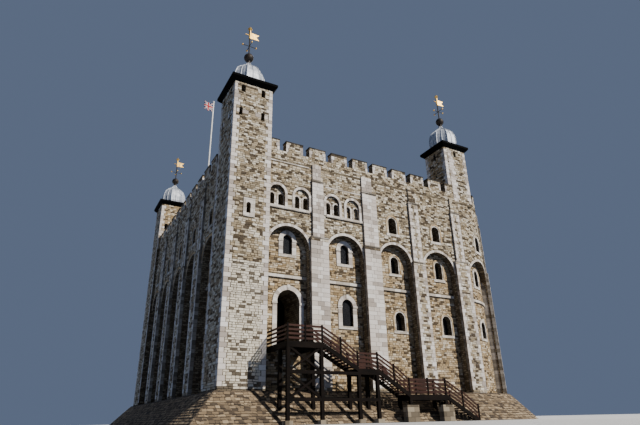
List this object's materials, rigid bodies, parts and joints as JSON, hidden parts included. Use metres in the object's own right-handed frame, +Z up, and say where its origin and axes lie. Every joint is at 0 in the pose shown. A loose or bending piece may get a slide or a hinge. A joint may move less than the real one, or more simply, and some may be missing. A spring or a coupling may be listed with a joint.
{
  "type": "medieval castle keep, 1:10 scale model",
  "caption": "Scale model of a medieval stone castle keep with a battered base, blind arcades, turrets under lead cupolas, a rounded chapel end and a timber entrance stair.",
  "frame": {"origin": "centre of the main block's plan, on the ground", "axes": "+Z up, +X to the right along the entrance front, +Y from the entrance front to the rear"},
  "size_m": [4.0188, 4.194, 3.985],
  "materials": {
    "plinth_stone": "coursed rubble",
    "rubble_stone": "rubble with pale joints",
    "pier_stone": "dressed stone with rubble cores",
    "dressed_stone": "smooth dressed stone",
    "coping_stone": "dark weathered stone",
    "footing_stone": "rough stone",
    "window_glass": "dark leaded glass",
    "floor_timber": "oiled boards",
    "roof_lead": "dull lead",
    "cupola_lead": "silvery lead",
    "eaves_timber": "near-black paint",
    "finial_bronze": "dark bronze",
    "vane_gilding": "gilded",
    "stair_timber": "dark stained",
    "rail_boards": "reddish-brown stain",
    "pole_paint": "white gloss",
    "flag_cloth": "woven"
  },
  "bodies": {
    "keep": {"apse_gallery_walls": "rubble_stone", "apse_parapet": "rubble_stone", "apse_pilasters": "pier_stone", "apse_walls": "rubble_stone", "blind_arch_rings": "dressed_stone", "chapel_roof": "roof_lead", "east_gallery_walls": "rubble_stone", "east_pilasters": "pier_stone", "east_walls": "rubble_stone", "entrance_floor": "floor_timber", "flag": "flag_cloth", "flagpole": "pole_paint", "front_window_surrounds": "dressed_stone", "gallery_floor": "floor_timber", "ground_slab": "footing_stone", "landing_frames": "stair_timber", "lead_roof": "roof_lead", "merlon_copings": "coping_stone", "ne_turret": "rubble_stone", "ne_turret_head": "rubble_stone", "north_gallery_walls": "rubble_stone", "north_pilasters": "pier_stone", "north_walls": "rubble_stone", "nw_turret": "rubble_stone", "nw_turret_head": "rubble_stone", "other_window_surrounds": "dressed_stone", "parapets": "rubble_stone", "plinth_apse": "plinth_stone", "plinth_east": "plinth_stone", "plinth_north": "plinth_stone", "plinth_south": "plinth_stone", "plinth_west": "plinth_stone", "rail_posts": "stair_timber", "se_turret": "rubble_stone", "south_gallery_walls": "rubble_stone", "south_pilasters": "pier_stone", "south_walls": "rubble_stone", "stair_decks": "stair_timber", "stair_footings": "footing_stone", "stair_rails": "rail_boards", "stair_stringers": "stair_timber", "stair_treads": "stair_timber", "string_courses": "dressed_stone", "sw_turret": "rubble_stone", "trestle_braces": "stair_timber", "trestle_posts": "stair_timber", "trestle_ties": "stair_timber", "turret_cupolas": "cupola_lead", "turret_eaves": "eaves_timber", "turret_finials": "finial_bronze", "upper_floor": "floor_timber", "west_gallery_walls": "rubble_stone", "west_pilasters": "pier_stone", "west_walls": "rubble_stone", "window_glass": "window_glass"},
    "sw_vane": {"sw_vane": "vane_gilding"},
    "nw_vane": {"nw_vane": "vane_gilding"},
    "ne_vane": {"ne_vane": "vane_gilding"},
    "se_vane": {"se_vane": "vane_gilding"}
  },
  "joints": [
    {"name": "sw_vane_turn", "type": "hinge", "parent": "keep", "child": "sw_vane", "pos_m": [-1.302, -1.5985, 3.87], "axis": [0, 0, 1], "continuous": true},
    {"name": "nw_vane_turn", "type": "hinge", "parent": "keep", "child": "nw_vane", "pos_m": [-1.307, 1.6155, 3.87], "axis": [0, 0, 1], "continuous": true},
    {"name": "ne_vane_turn", "type": "hinge", "parent": "keep", "child": "ne_vane", "pos_m": [1.307, 1.6155, 3.87], "axis": [0, 0, 1], "continuous": true},
    {"name": "se_vane_turn", "type": "hinge", "parent": "keep", "child": "se_vane", "pos_m": [1.3275, -1.601, 3.87], "axis": [0, 0, 1], "continuous": true}
  ]
}
